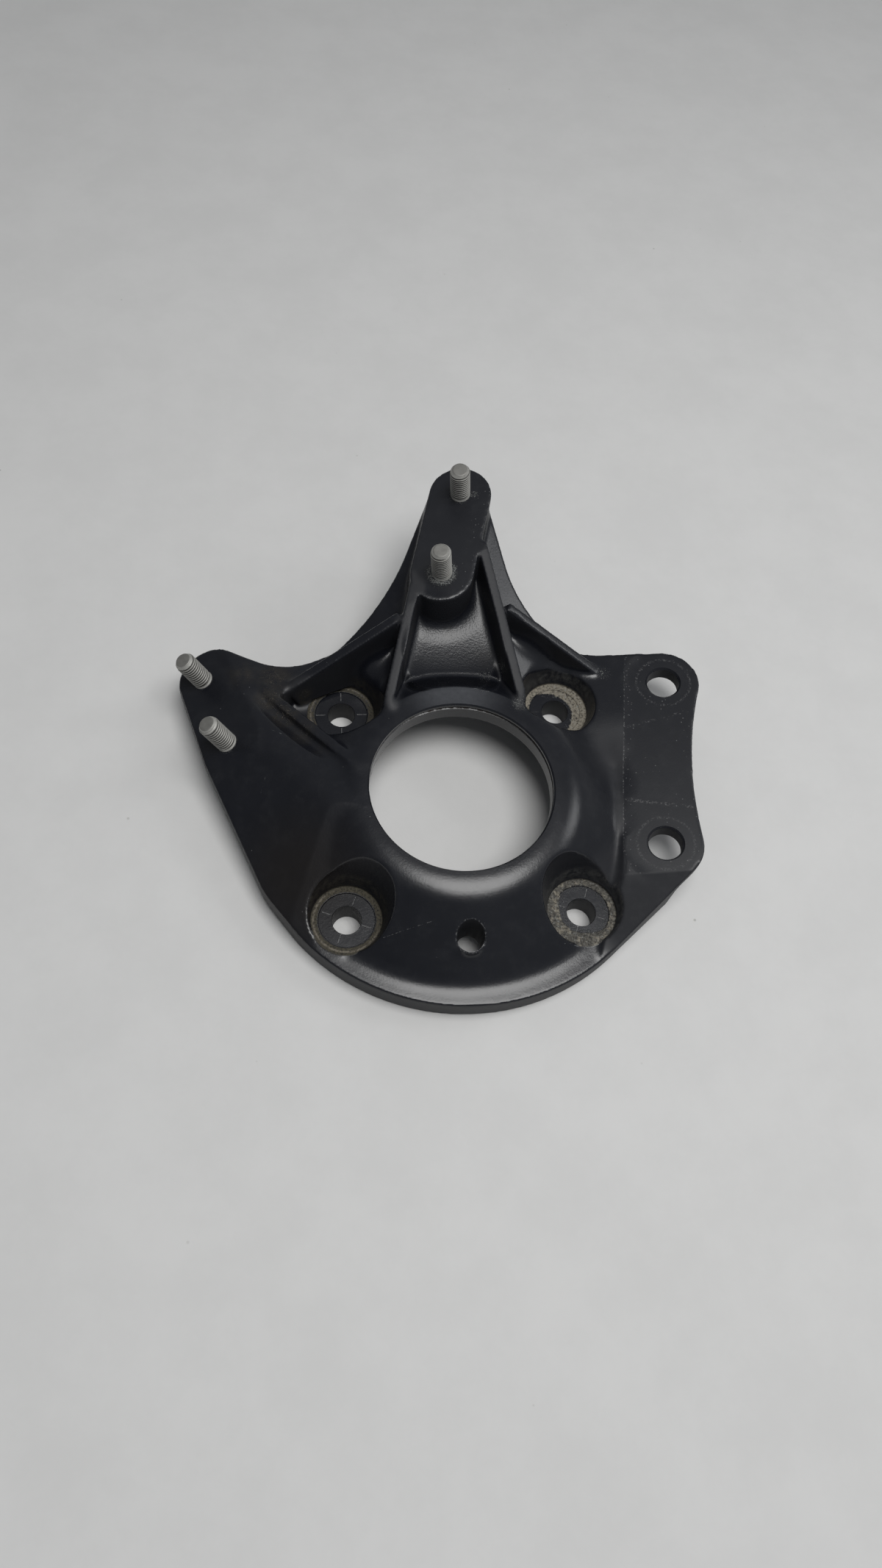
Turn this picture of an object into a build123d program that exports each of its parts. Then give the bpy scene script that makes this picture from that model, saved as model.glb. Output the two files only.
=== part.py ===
from build123d import *
import math
import os

os.makedirs("parts", exist_ok=True)

# Strut mount: a cast bracket that ties a damper top plate to the body.
# Millimetres. Origin on the bore axis at the underside, +Z up along the bore,
# +X towards the pad with the two clearance holes, +Y towards the tall tower.

# Dome, collar and bore
bore_d = 85.0
collar_height = 40.7
collar_depth = 11.0
collar_corner_r = 52.6
shoulder_r = 22.0
sharp_shoulder_start = 58.0
sharp_shoulder_end = 128.0
foot_corner_r = 88.0
foot_r = 12.0
rim_height = 14.0
bore_chamfer = 0.8
rim_reach = 240.0
full_turn = 360.0

# Casting walls
wall = 7.0
tower_wall = 6.0
tower_depth = 18.0
tower_pad_thickness = 10.0
pad_thickness = 8.0

# Damper bolt pattern in four spot-faced pockets
bush_pitch = 108.0
bush_hole_d = 13.5
bush_floor = 14.3
spot_d = 32.4
pocket_slope = 0.26
pocket_wall = 5.0

# Drain hole in the flank
drain_y = -69.0
drain_d = 12.0

# Pad with two clearance holes
right_hole_upper = (107.8, 61.5)
right_hole_lower = (95.2, -26.2)
right_hole_d = 16.0
right_pad_edge = 18.0
right_pad_z = 28.3
right_pad_x = 105.0
right_pad_tilt = 7.0
right_waist_r = 200.0
right_face_r = 19.5
right_face_step = 0.4

# Studded pad on the left arm
left_stud_upper = (-121.2, 69.5)
left_stud_lower = (-108.2, 31.0)
left_pad_z = 27.0
left_pad_x = -112.0
left_pad_tilt = 23.0
left_face_upper_r = 17.5
left_face_lower_r = 20.0
left_face_step = 1.2
left_face_turn = (12.0, 10.5)
arm_crest_r = 25.0

# Studded pad on top of the tower
tower_stud_inner = (-4.2, 104.6)
tower_stud_outer = (7.5, 149.0)
tower_pad_z = 62.0
tower_pad_lean_x = 6.5
tower_pad_lean_y = 6.1
tongue_r = 15.5

# Sloped cast faces: a point on each, then its climb along X and along Y
left_flank_face = (-54.0, -14.0, 39.4, 0.43, 0.31)
left_saddle_face = (-54.0, 0.0, 39.7, -0.053, -0.177)
left_heel_face = (-68.0, -66.0, 14.0, 0.225, 0.39)
left_lift_face = (-75.0, -62.0, 0.0, -0.072, 0.142)
right_fall_face = (60.0, -76.0, 14.5, 0.145, 0.2465)
right_bevel_foot = (81.0, 8.9)
right_bevel_climb = (1.19, -0.17)
right_blend_foot = (84.0, 20.0)
right_blend_climb = (0.456, 0.499)
bevel_round_r = 4.0

# Plan limits of the arms where they run into the dome
left_arm_edge = (
    (-22.0, 85.5),
    (-78.0, 61.0),
    (-84.0, 51.1),
    (-46.5, 10.8),
    (-44.0, -8.0),
    (-50.0, -35.0),
    (-56.0, -54.0),
)
left_lift_edge = ((-76.0, -62.0), (-82.0, -20.0), (-92.0, 40.0))
right_far_edge = (58.0, 10.0)
right_low_edge = ((60.0, 40.0), (60.0, -40.0), (54.0, -54.0), (56.0, -90.0))
reach = 180.0
headroom = 90.0

# Tower web, a roof with a central floor and two falling sides
web_z = 40.7
web_y = 88.0
web_climb = 0.36
web_fall = 0.40
tower_half_width = 95.0
tower_start_y = 15.0

# Ribs: top width, side draft and the ends of each crest
rib_width = 5.0
rib_draft = 3.0
rib_reach = 40.0
main_rib_left = ((-32.6, 42.0, 41.0), (-15.0, 108.0, 65.8))
main_rib_right = ((33.0, 44.5, 40.2), (16.0, 120.0, 67.2))
brace_left = ((-25.5, 84.0, 55.4), (-81.0, 59.7, 30.0))
brace_right = ((28.5, 90.3, 53.9), (78.0, 69.8, 24.6))
arm_rib = ((-93.0, 60.8, 31.2), (-46.5, 10.8, 41.2))
gutter_r = 8.0
gutter_depth = 4.6
gutter_offset = 3.8
gutter_sweep_r = 120.0

# Press-in studs, M10
stud_d = 10.0
stud_length = 19.0
stud_chamfer = 1.2
stud_neck_d = 10.6
stud_neck_flats = 12
stud_head_d = 16.0
stud_head_height = 3.5
stud_clearance = 0.05
head_room = 1.0


def sloped(x, y, z, climb_x, climb_y):
    """Plane through a point that climbs by the two given slopes."""
    return Plane(origin=(x, y, z), z_dir=(-climb_x, -climb_y, 1))


def below(body, plane):
    """The part of a body under a plane."""
    room = 700
    lid = Box(room, room, room, align=(Align.CENTER, Align.CENTER, Align.MIN))
    return body - plane * lid


def belt(pulleys):
    """Closed outline that runs round circles, left of travel where side is 1 and right where -1."""
    ends = []
    count = len(pulleys)
    for i in range(count):
        x1, y1, r1, side1 = pulleys[i]
        x2, y2, r2, side2 = pulleys[(i + 1) % count]
        distance = math.hypot(x2 - x1, y2 - y1)
        ratio = (side2 * r2 - side1 * r1) / distance
        turn = math.acos(max(-1.0, min(1.0, ratio)))
        angle = math.atan2(y2 - y1, x2 - x1) + turn
        nx = math.cos(angle)
        ny = math.sin(angle)
        leave = (x1 - side1 * r1 * nx, y1 - side1 * r1 * ny)
        meet = (x2 - side2 * r2 * nx, y2 - side2 * r2 * ny)
        if math.dist(leave, meet) < 0.01:
            meet = leave
        ends.append((leave, meet))
    edges = []
    for i in range(count):
        x, y, r, side = pulleys[i]
        start = ends[i - 1][1]
        leave, meet = ends[i]
        a0 = math.atan2(start[1] - y, start[0] - x)
        a1 = math.atan2(leave[1] - y, leave[0] - x)
        sweep = (a1 - a0) % (2 * math.pi) if side > 0 else -((a0 - a1) % (2 * math.pi))
        middle = (x + r * math.cos(a0 + sweep / 2), y + r * math.sin(a0 + sweep / 2))
        edges.append(ThreePointArc(start, middle, leave))
        if meet != leave:
            edges.append(Line(leave, meet))
    return make_face(edges)


def waist(first, second, radius, side_r):
    """Centre of a circle that touches two equal circles from the right of travel."""
    middle = ((first[0] + second[0]) / 2, (first[1] + second[1]) / 2)
    half = math.dist(first, second) / 2
    reach = math.sqrt((side_r + radius) ** 2 - half ** 2)
    ux = (second[0] - first[0]) / (2 * half)
    uy = (second[1] - first[1]) / (2 * half)
    return (middle[0] + uy * reach, middle[1] - ux * reach)


def slot(first, second, radius):
    """Plan outline of two equal circles and the tangents between them."""
    return belt([(*first, radius, 1), (*second, radius, 1)])


# Plan outlines
rim_circle = (2.0, 7.0, 103.0, 1)
rim_left_circle = (-52.1, -17.6, 45.0, 1)
kink_circle = (-100.3, 30.0, 20.0, 1)
left_end_circle = (-118.0, 71.0, 15.6, 1)
left_hollow = (-82.0, 104.0, 30.0, -1)
tower_left_hollow = (-110.0, 167.4, 99.1, -1)
tower_end_circle = (*tower_stud_outer, tongue_r, 1)
tower_right_hollow = (83.5, 135.0, 54.5, -1)
lower_pad_circle = (*right_hole_lower, right_pad_edge, 1)
upper_pad_circle = (*right_hole_upper, right_pad_edge, 1)
waist_centre = waist(right_hole_lower, right_hole_upper, right_waist_r, right_pad_edge)
waist_circle = (*waist_centre, right_waist_r, -1)
bush_half = bush_pitch / 2
skirt_corner_circle = (92.0, -43.0, 8.0, 1)
skirt_kink_circle = (-94.7, 17.2, 20.0, 1)
skirt_right_circle = (bush_half + 12.0, bush_half, 18.0, 1)
skirt_left_circle = (-bush_half - 18.0, bush_half - 4.0, 16.0, 1)

outline = belt(
    [
        rim_left_circle,
        rim_circle,
        lower_pad_circle,
        waist_circle,
        upper_pad_circle,
        tower_right_hollow,
        tower_end_circle,
        tower_left_hollow,
        left_hollow,
        left_end_circle,
        kink_circle,
    ]
)
skirt_pulleys = [
    rim_left_circle,
    rim_circle,
    skirt_corner_circle,
    skirt_right_circle,
    skirt_left_circle,
    skirt_kink_circle,
]
skirt = belt(skirt_pulleys)

# Sloped faces of the casting
right_climb = math.tan(math.radians(right_pad_tilt))
left_climb = math.tan(math.radians(left_pad_tilt))
right_pad_face = sloped(right_pad_x, 0.0, right_pad_z, right_climb, 0.0)
right_top = right_pad_face.offset(right_face_step)
right_fall = sloped(*right_fall_face)
left_pad_face = sloped(left_pad_x, 0.0, left_pad_z, left_climb, 0.0)
left_top = left_pad_face.offset(left_face_step)
left_flank = sloped(*left_flank_face)
left_saddle = sloped(*left_saddle_face)
left_heel = sloped(*left_heel_face)
left_lift = sloped(*left_lift_face)
bevel_foot_z = right_pad_z + right_climb * (right_bevel_foot[0] - right_pad_x)
right_bevel = sloped(*right_bevel_foot, bevel_foot_z, *right_bevel_climb)
blend_foot_z = right_pad_z + right_climb * (right_blend_foot[0] - right_pad_x)
right_blend = sloped(*right_blend_foot, blend_foot_z, *right_blend_climb)
tower_pad_face = sloped(
    *tower_stud_inner,
    tower_pad_z,
    math.tan(math.radians(tower_pad_lean_x)),
    math.tan(math.radians(tower_pad_lean_y)),
)


def rib_line_climb(crest):
    """Sideways travel of a crest for each millimetre along Y."""
    (x1, y1, z1), (x2, y2, z2) = crest
    return (x2 - x1) / (y2 - y1)


web_floor = sloped(0.0, web_y, web_z, 0.0, web_climb)
left_lean = rib_line_climb(main_rib_left)
right_lean = rib_line_climb(main_rib_right)
web_left_x = main_rib_left[0][0] + left_lean * (web_y - main_rib_left[0][1])
web_right_x = main_rib_right[0][0] + right_lean * (web_y - main_rib_right[0][1])
web_left = sloped(web_left_x, web_y, web_z, web_fall, web_climb - web_fall * left_lean)
web_right = sloped(web_right_x, web_y, web_z, -web_fall, web_climb + web_fall * right_lean)


def dome(drop):
    """Hat of revolution with its rim; drop is the distance inside the outer skin."""
    slope = math.atan2(collar_height - rim_height, foot_corner_r - collar_corner_r)
    shift = drop * math.tan(slope / 2)

    def hat(crown_r, arc):
        corners = [
            (0, 0),
            (rim_reach, 0),
            (rim_reach, rim_height - drop),
            (foot_corner_r - shift, rim_height - drop),
            (collar_corner_r - shift, collar_height - drop),
            (0, collar_height - drop),
        ]
        profile = make_face(Polyline(*corners, close=True))
        if crown_r > 0:
            crown = profile.vertices().sort_by_distance((corners[4][0], corners[4][1], 0))[0]
            profile = fillet(crown, crown_r)
        if drop == 0:
            root = profile.vertices().sort_by_distance((corners[3][0], corners[3][1], 0))[0]
            profile = fillet(root, foot_r)
        return revolve(Plane.XZ * profile, Axis.Z, arc)

    if drop > 0:
        return hat(0, full_turn)
    sharp_arc = sharp_shoulder_end - sharp_shoulder_start
    soft = Rot(0, 0, sharp_shoulder_end) * hat(shoulder_r, full_turn - sharp_arc)
    sharp = Rot(0, 0, sharp_shoulder_start) * hat(0, sharp_arc)
    return soft + sharp


def prism(points, height):
    return extrude(make_face(Polyline(*points, close=True)), height)


def region_prism(points, drop, height):
    """Prism over a plan region; the inside of a wall keeps its distance from the region's edge."""
    face = make_face(Polyline(*points, close=True))
    if drop > 0:
        face = offset(face, -drop, kind=Kind.INTERSECTION)
    return extrude(face, height)


def on_two(edge, *planes):
    """True for an edge that lies in two of the planes."""
    middle = edge @ 0.5
    near = [plane for plane in planes if abs((middle - plane.origin).dot(plane.z_dir)) < 0.01]
    return len(near) == 2


def left_arm(drop):
    first = (left_arm_edge[0][0], reach)
    last = (left_arm_edge[-1][0], -reach)
    body = region_prism([(-reach, reach), first, *left_arm_edge, last, (-reach, -reach)], drop, headroom)
    for plane in (left_top, left_flank, left_saddle):
        body = below(body, plane.offset(-drop))
    if drop == 0:
        crests = ShapeList(edge for edge in body.edges() if on_two(edge, left_top, left_flank, left_saddle))
        body = fillet(crests, arm_crest_r)
    return below(body, left_heel.offset(-drop))


def right_plateau(drop):
    x, y = right_far_edge
    far = region_prism([(x, reach), (x, y), (reach, y), (reach, reach)], drop, headroom)
    low = region_prism([*right_low_edge, (reach, -reach), (reach, right_low_edge[0][1])], drop, headroom)
    for plane in (right_fall, right_bevel, right_top):
        low = below(low, plane.offset(-drop))
    for plane in (right_blend, right_top):
        far = below(far, plane.offset(-drop))
    if drop == 0:
        low = fillet(ShapeList(edge for edge in low.edges() if on_two(edge, right_bevel, right_top)), bevel_round_r)
        far = fillet(ShapeList(edge for edge in far.edges() if on_two(edge, right_blend, right_top)), bevel_round_r)
    return low + far


def tower_web(drop):
    side = tower_half_width
    body = prism([(-side, tower_start_y), (side, tower_start_y), (side, reach), (-side, reach)], headroom)
    for plane in (web_floor, web_left, web_right):
        body = below(body, plane.offset(-drop))
    return body


def tongue(inset, drop):
    body = extrude(slot(tower_stud_inner, tower_stud_outer, tongue_r - inset), headroom)
    return below(body, tower_pad_face.offset(-drop))


def crest_plane(crest):
    """Frame in the middle of a crest: X along it, Z square to it and up."""
    start = Vector(*crest[0])
    end = Vector(*crest[1])
    along = end - start
    return Plane(
        origin=(start + end) * 0.5,
        x_dir=along,
        z_dir=along.cross(Vector(-along.Y, along.X, 0)),
    )


def rib(crest):
    """Upright plate with drafted sides under a straight crest."""
    top = crest_plane(crest) * Rectangle(math.dist(*crest), rib_width)
    return extrude(top, amount=-rib_reach, taper=-rib_draft)


def gutter(crest):
    """Round-bottomed hollow along the outer side of a rib, deepest at the middle and fading out at both ends."""
    middle = Pos(0, -gutter_offset, gutter_r - gutter_depth + gutter_sweep_r)
    return crest_plane(crest) * middle * Rot(90, 0, 0) * Torus(gutter_sweep_r, gutter_r)


def bush_places():
    return [
        Pos(x, y, 0)
        for x in (-bush_half, bush_half)
        for y in (-bush_half, bush_half)
    ]


def pocket():
    """Drafted recess above the spot-faced floor of a hole."""
    floor_r = spot_d / 2
    mouth_r = floor_r + pocket_slope * (headroom - bush_floor)
    points = [(0, bush_floor), (floor_r, bush_floor), (mouth_r, headroom), (0, headroom)]
    return revolve(Plane.XZ * make_face(Polyline(*points, close=True)), Axis.Z)


def pocket_cup():
    """Drafted boss that carries a pocket on the underside."""
    cup_r = spot_d / 2 + pocket_wall
    base_r = cup_r - pocket_slope * (bush_floor + 1)
    mouth_r = cup_r + pocket_slope * (headroom - bush_floor)
    points = [(0, -1), (base_r, -1), (mouth_r, headroom), (0, headroom)]
    return revolve(Plane.XZ * make_face(Polyline(*points, close=True)), Axis.Z)


def disc(radius, low, high):
    return Pos(0, 0, low) * Cylinder(radius, high - low, align=(Align.CENTER, Align.CENTER, Align.MIN))


def seat(face, point):
    """Frame on a sloped face above a plan point, Z out of the face."""
    x, y = point
    normal = face.z_dir
    origin = face.origin
    z = origin.Z - (normal.X * (x - origin.X) + normal.Y * (y - origin.Y)) / normal.Z
    return Plane(origin=(x, y, z), x_dir=Vector(1, 0, 0) - normal * normal.X, z_dir=normal)


left_seats = [seat(left_pad_face, point) for point in (left_stud_upper, left_stud_lower)]
tower_seats = [seat(tower_pad_face, point) for point in (tower_stud_inner, tower_stud_outer)]
right_seats = [seat(right_pad_face, point) for point in (right_hole_upper, right_hole_lower)]

# Outer body
room = extrude(outline, headroom)
casting = room & (dome(0) + left_arm(0) + right_plateau(0) + tower_web(0))
for place in bush_places():
    casting -= place * pocket()
casting -= gutter(arm_rib)
for crest in (main_rib_left, main_rib_right, brace_left, brace_right, arm_rib):
    casting += below(rib(crest), tower_pad_face) & room
casting += tongue(0, 0)


def above(plan_face, plane):
    """What stands over a plane within a plan outline."""
    column = extrude(plan_face, headroom)
    return column - below(column, plane)


# Machined faces
left_face = belt([(*left_stud_lower, left_face_lower_r, 1), (*left_stud_upper, left_face_upper_r, 1)])
turn_x = left_stud_upper[0] + left_face_turn[0]
turn_y = left_stud_upper[1] + left_face_turn[1]
left_face += make_face(
    Polyline(
        (-reach, 0),
        (left_stud_upper[0], 0),
        (left_stud_upper[0], turn_y),
        (turn_x, turn_y),
        (turn_x, reach),
        (-reach, reach),
        close=True,
    )
)
casting -= above(left_face, left_pad_face)
casting -= above(slot(right_hole_lower, right_hole_upper, right_face_r), right_pad_face)

# Open underside
left_edge = prism(
    [(-reach, left_lift_edge[0][1]), *left_lift_edge, (-reach, left_lift_edge[-1][1])],
    headroom,
)
casting -= below(left_edge, left_lift)
left_under = left_arm(pad_thickness + left_face_step)
right_under = right_plateau(pad_thickness + right_face_step)
raised = extrude(outline - skirt, headroom)
casting -= raised & (left_under + right_under + tower_web(tower_depth))
hollow = extrude(offset(outline, -wall), headroom)
hollow &= dome(wall) + left_under + right_under + tower_web(tower_wall) + tongue(tower_wall, tower_pad_thickness)
for place in bush_places():
    hollow -= place * pocket_cup()
hollow -= disc(bore_d / 2 + wall, collar_height - collar_depth, collar_height)
casting -= hollow

# Bore and holes
casting -= disc(bore_d / 2, -1, headroom)
bore_mouth = Pos(0, 0, collar_height + bore_chamfer) * Circle(bore_d / 2 + 2 * bore_chamfer)
casting -= extrude(bore_mouth, -3 * bore_chamfer, taper=45)
for place in bush_places():
    casting -= place * disc(bush_hole_d / 2, -1, headroom)
casting -= Pos(0, drain_y, 0) * disc(drain_d / 2, -1, headroom)
for plane in right_seats:
    casting -= plane * Cylinder(right_hole_d / 2, headroom)
head_space = Cylinder(stud_head_d / 2 + head_room, headroom / 3, align=(Align.CENTER, Align.CENTER, Align.MAX))
for plane in left_seats:
    casting -= plane * Cylinder(stud_neck_d / 2 + stud_clearance, headroom)
    casting -= plane.offset(-pad_thickness) * head_space
for plane in tower_seats:
    casting -= plane * Cylinder(stud_neck_d / 2 + stud_clearance, headroom)
    casting -= plane.offset(-tower_pad_thickness) * head_space


def stud(thickness):
    """Press-in stud on its seat frame: head under the plate, serrated neck in it, shank above."""
    under = Pos(0, 0, -thickness)
    head = under * Cylinder(stud_head_d / 2, stud_head_height, align=(Align.CENTER, Align.CENTER, Align.MAX))
    neck = extrude(under * RegularPolygon(stud_neck_d / 2, stud_neck_flats), thickness)
    shank = Cylinder(stud_d / 2, stud_length, align=(Align.CENTER, Align.CENTER, Align.MIN))
    shank = chamfer(shank.edges().group_by(Axis.Z)[-1], stud_chamfer)
    return head + neck + shank


parts = {
    "mount_casting": casting,
    "left_stud_upper": left_seats[0] * stud(pad_thickness),
    "left_stud_lower": left_seats[1] * stud(pad_thickness),
    "top_stud_inner": tower_seats[0] * stud(tower_pad_thickness),
    "top_stud_outer": tower_seats[1] * stud(tower_pad_thickness),
}
for name, shape in parts.items():
    solids = shape.solids()
    print(name, len(solids), round(shape.volume), shape.is_valid)
    export_step(shape, "parts/" + name + ".step")
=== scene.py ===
"""Visual model of the strut mount: the casting, its threaded studs, their materials and the stage."""
import math

import bmesh
import bpy
import numpy as np
from mathutils import Matrix, Vector


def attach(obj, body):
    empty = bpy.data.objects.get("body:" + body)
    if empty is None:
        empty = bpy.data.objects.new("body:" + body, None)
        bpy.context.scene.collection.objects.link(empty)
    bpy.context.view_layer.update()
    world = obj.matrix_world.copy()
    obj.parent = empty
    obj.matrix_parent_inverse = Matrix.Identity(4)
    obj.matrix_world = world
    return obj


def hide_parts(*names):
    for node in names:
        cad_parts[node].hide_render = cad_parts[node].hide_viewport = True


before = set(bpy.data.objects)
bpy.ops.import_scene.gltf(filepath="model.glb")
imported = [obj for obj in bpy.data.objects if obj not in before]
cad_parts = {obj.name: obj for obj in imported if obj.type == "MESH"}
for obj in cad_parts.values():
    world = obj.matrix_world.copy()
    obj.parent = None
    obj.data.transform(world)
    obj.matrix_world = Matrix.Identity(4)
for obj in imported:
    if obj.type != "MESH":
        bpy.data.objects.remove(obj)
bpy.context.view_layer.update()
MM = 0.001

# Sizes in millimetres, as in the CAD
BORE_R = 42.5
COLLAR_Z = 40.7
COLLAR_DEPTH = 11.0
COLLAR_FLOOR_Z = COLLAR_Z - COLLAR_DEPTH
BUSH_HALF = 54.0
BUSH_R = 6.75
SPOT_R = 16.2
SPOT_Z = 14.3
DISC_R = 13.0
DISC_Z = 13.8
DRAIN_Y = -69.0
RIGHT_HOLES = ((107.8, 61.5), (95.2, -26.2))
RIGHT_HOLE_R = 8.0
RIGHT_Z, RIGHT_X, RIGHT_TILT = 28.3, 105.0, 7.0
LEFT_STUDS = ((-121.2, 69.5), (-108.2, 31.0))
LEFT_Z, LEFT_X, LEFT_TILT = 27.0, -112.0, 23.0
TOP_STUDS = ((-4.2, 104.6), (7.5, 149.0))
TOP_Z, TOP_LEAN_X, TOP_LEAN_Y = 62.0, 6.5, 6.1
MAIN_RIBS = (((-32.6, 42.0), (-15.0, 108.0)), ((33.0, 44.5), (16.0, 120.0)))
STUD_R = 5.0
STUD_LENGTH = 19.0
STUD_PITCH = 1.5
STUD_HEAD_R = 8.0
STUD_HEAD_HEIGHT = 3.5
RIGHT_PLATE = 8.0
LEFT_PLATE = 8.0
TOP_PLATE = 10.0

# Details that only the looks have, in millimetres
HOLE_ROOM = 0.05
LIP_GROOVE = 0.9
BORE_CHAMFER = 2.8
DISC_BEVEL = 0.3
DISC_MOUTH = 0.15
RIGHT_HOLE_BEVEL = 1.6
DRAIN_TAPER = ((5.0, 5), (5.3, 16), (6.4, 30), (6.9, 45))
THREAD_CREST = STUD_R - 0.05
THREAD_ROOT = STUD_R - 0.92
THREAD_START = 0.8
THREAD_END = STUD_LENGTH - 0.6
THREAD_FADE = 1.2
END_TAPER = 1.9

# The thread's tooth, as shares of half a pitch: the flat at its root and the flank
ROOT_FLAT = 0.12
FLANK = 0.70

# Points round a stud's thread, rings of them in each turn, and how much painted shade the stud's end gets
# (1 is as dark as a root)
THREAD_STEPS = 48
THREAD_ROWS = 14
STUD_END_SHADE = 0.5

# Cylinders that fill the holes while the casting is remeshed, in millimetres
BORE_PLUG_R = 44.0
BUSH_PLUG_R = 8.0
BUSH_PLUG_TOP = SPOT_Z - 0.6
RIGHT_PLUG_R = 9.0
DRAIN_PLUG_R = 7.0
DRAIN_PLUG_ENDS = (14.0, 26.0)
STUD_PLUG_R = 6.0

# The casting's mesh: voxel size in millimetres, triangles kept, and the angle of a sharp edge in degrees
VOXEL = 0.6
BODY_TRIANGLES = 170000
SHARP_ANGLE = 40

# Its smoothing: passes that round the outer edges, fill the inner ones and broaden the widest forms,
# the share of the way to its neighbours that a pass moves a point, and passes between fresh normals
SMOOTH_STEPS = 7
FILLET_STEPS = 45
BROAD_STEPS = 260
SMOOTH_SHARE = 0.5
FILLET_SHARE = 0.6
NORMALS_EVERY = 5

# Places where the cast form runs out softly, and where it does so widely: X, Y, Z and reach. A place has
# its full strength in its middle, up to 1 - 1 / SPOT_FADE of its reach
SPOT_FADE = 1.6
SOFT_SPOTS = (
    (-31.0, 40.0, 40.5, 9.0),
    (32.0, 42.0, 40.0, 9.0),
    (83.0, 20.0, 25.0, 22.0),
    (-45.0, 10.0, 41.0, 9.0),
    (-82.0, 58.0, 30.0, 8.0),
    (30.0, 86.0, 46.0, 7.0),
)
BROAD_SPOTS = (
    (-41.0, 73.0, 30.0, 13.0),
    (42.0, 80.0, 31.5, 12.0),
    (77.0, 26.0, 25.0, 13.0),
    (78.0, 9.0, 23.5, 13.0),
    (76.0, -9.0, 23.5, 12.0),
)

# Roughness of the paint: the lowest and its spread, then place by place, and of what lies on it
SATIN_ROUGH = 0.21
SATIN_SPREAD = 0.10
PAD_ROUGH = 0.33
WEB_ROUGH = 0.33
BORE_ROUGH = 0.22
VALLEY_ROUGH = 0.55
RIB_ROUGH = 0.60
SIDE_ROUGH = 0.60
LEFT_CORNER_ROUGH = 0.65
RIGHT_BLEND_ROUGH = 0.75
RIGHT_CORNER_ROUGH = 0.80
DUST_ROUGH = 0.85

# Depths of the paint's relief in millimetres, with the share that the pads have
PEEL_DEPTH = 0.030
GRAIN_DEPTH = 0.028
WEB_GRAIN_DEPTH = 0.10
FINE_DEPTH = 0.016
CRUST_DEPTH = 0.35
SPOKE_DEPTH = 0.15
PAD_RELIEF = 0.25

# Curves of the tower's web in the relief, each rising with the square of a distance: below a Y line, up
# to a limit, and inwards to the inner top stud
DISH_Y = 90.0
DISH_REACH = 36.0
DISH_RATE = 0.0075
CLIMB_REACH = 27.0
CLIMB_RATE = 0.015

# Colours, as linear red, green and blue
BLACK_DEEP = (0.0050, 0.0057, 0.0084)
BLACK_FADED = (0.0090, 0.0098, 0.0132)
# painted sheen: a warm brown tint that stands in for a reflection on the left flank
WARM_SHEEN_BLACK = (0.0110, 0.0085, 0.0065)
FILM = (0.024, 0.025, 0.028)
STAIN = (0.026, 0.023, 0.019)
COLLAR_DUST = (0.060, 0.063, 0.070)
HAZE_LEFT = (0.020, 0.017, 0.011)
HAZE_RIGHT = (0.050, 0.050, 0.048)
DIRT_DARK = (0.050, 0.043, 0.033)
DIRT_PALE = (0.150, 0.130, 0.100)
CHALK = (0.16, 0.16, 0.16)
SPECK = (0.20, 0.20, 0.20)
POWDER_DARK = (0.07, 0.072, 0.073)
POWDER_PALE = (0.30, 0.31, 0.30)
BARE_METAL = (0.22, 0.22, 0.22)
RUST = (0.055, 0.038, 0.026)
OLIVE_DARK = (0.020, 0.018, 0.012)
OLIVE_PALE = (0.080, 0.070, 0.048)
OLIVE_LINE = (0.17, 0.15, 0.12)
BEIGE_DARK = (0.060, 0.052, 0.040)
BEIGE_PALE = (0.34, 0.31, 0.25)
BEIGE_PATCH = (0.040, 0.040, 0.038)
ZINC_DARK = (0.27, 0.267, 0.25)
ZINC_PALE = (0.45, 0.445, 0.42)
# painted shade: the colour laid into the thread roots and onto the stud ends, as if they lay in shadow
ZINC_ROOT_SHADE = (0.035, 0.033, 0.030)
FLOOR_DARK = (0.585, 0.585, 0.58)
FLOOR_PALE = (0.615, 0.615, 0.61)
FLOOR_MARK = (0.22, 0.21, 0.19)
SKY = (0.93, 0.96, 1.0)

# The stage: half the floor's side in metres, its gap below the part in millimetres, and the
# strength of the surroundings at the left and right ends of a span
FLOOR_HALF = 3.0
FLOOR_GAP = 0.02
SKY_SPAN = 0.8
SKY_LEFT = 0.12
SKY_RIGHT = 0.26

# The camera: its place and the point of the floor that it looks at in millimetres, its roll in degrees,
# and its lens on a picture of the given height, both in millimetres of the film
CAMERA_PLACE = (-58.627, -220.524, 470.185)
CAMERA_AIM = (-5.1119, 21.2525, 0.0)
CAMERA_ROLL = 9.8546
CAMERA_LENS = 24.396
FILM_HEIGHT = 36.0


def seat(x, y, z0, x0, y0, climb_x, climb_y):
    """Matrix of a sloped face above a plan point, Z out of the face, in metres."""
    normal = Vector((-climb_x, -climb_y, 1.0)).normalized()
    x_dir = (Vector((1, 0, 0)) - normal * normal.x).normalized()
    y_dir = normal.cross(x_dir)
    z = z0 + climb_x * (x - x0) + climb_y * (y - y0)
    matrix = Matrix((x_dir, y_dir, normal)).transposed().to_4x4()
    matrix.translation = Vector((x, y, z)) * MM
    return matrix


def slope(degrees):
    """Climb of a face that is tilted by an angle."""
    return math.tan(math.radians(degrees))


left_seats = [seat(x, y, LEFT_Z, LEFT_X, 0, slope(LEFT_TILT), 0) for x, y in LEFT_STUDS]
right_seats = [seat(x, y, RIGHT_Z, RIGHT_X, 0, slope(RIGHT_TILT), 0) for x, y in RIGHT_HOLES]
top_seats = [
    seat(x, y, TOP_Z, *TOP_STUDS[0], slope(TOP_LEAN_X), slope(TOP_LEAN_Y)) for x, y in TOP_STUDS
]


def new_object(name, verts, faces):
    """Object in the scene with a mesh of the given points and faces."""
    mesh = bpy.data.meshes.new(name)
    mesh.from_pydata([tuple(v) for v in verts], [], faces)
    mesh.update()
    obj = bpy.data.objects.new(name, mesh)
    bpy.context.scene.collection.objects.link(obj)
    return obj


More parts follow.
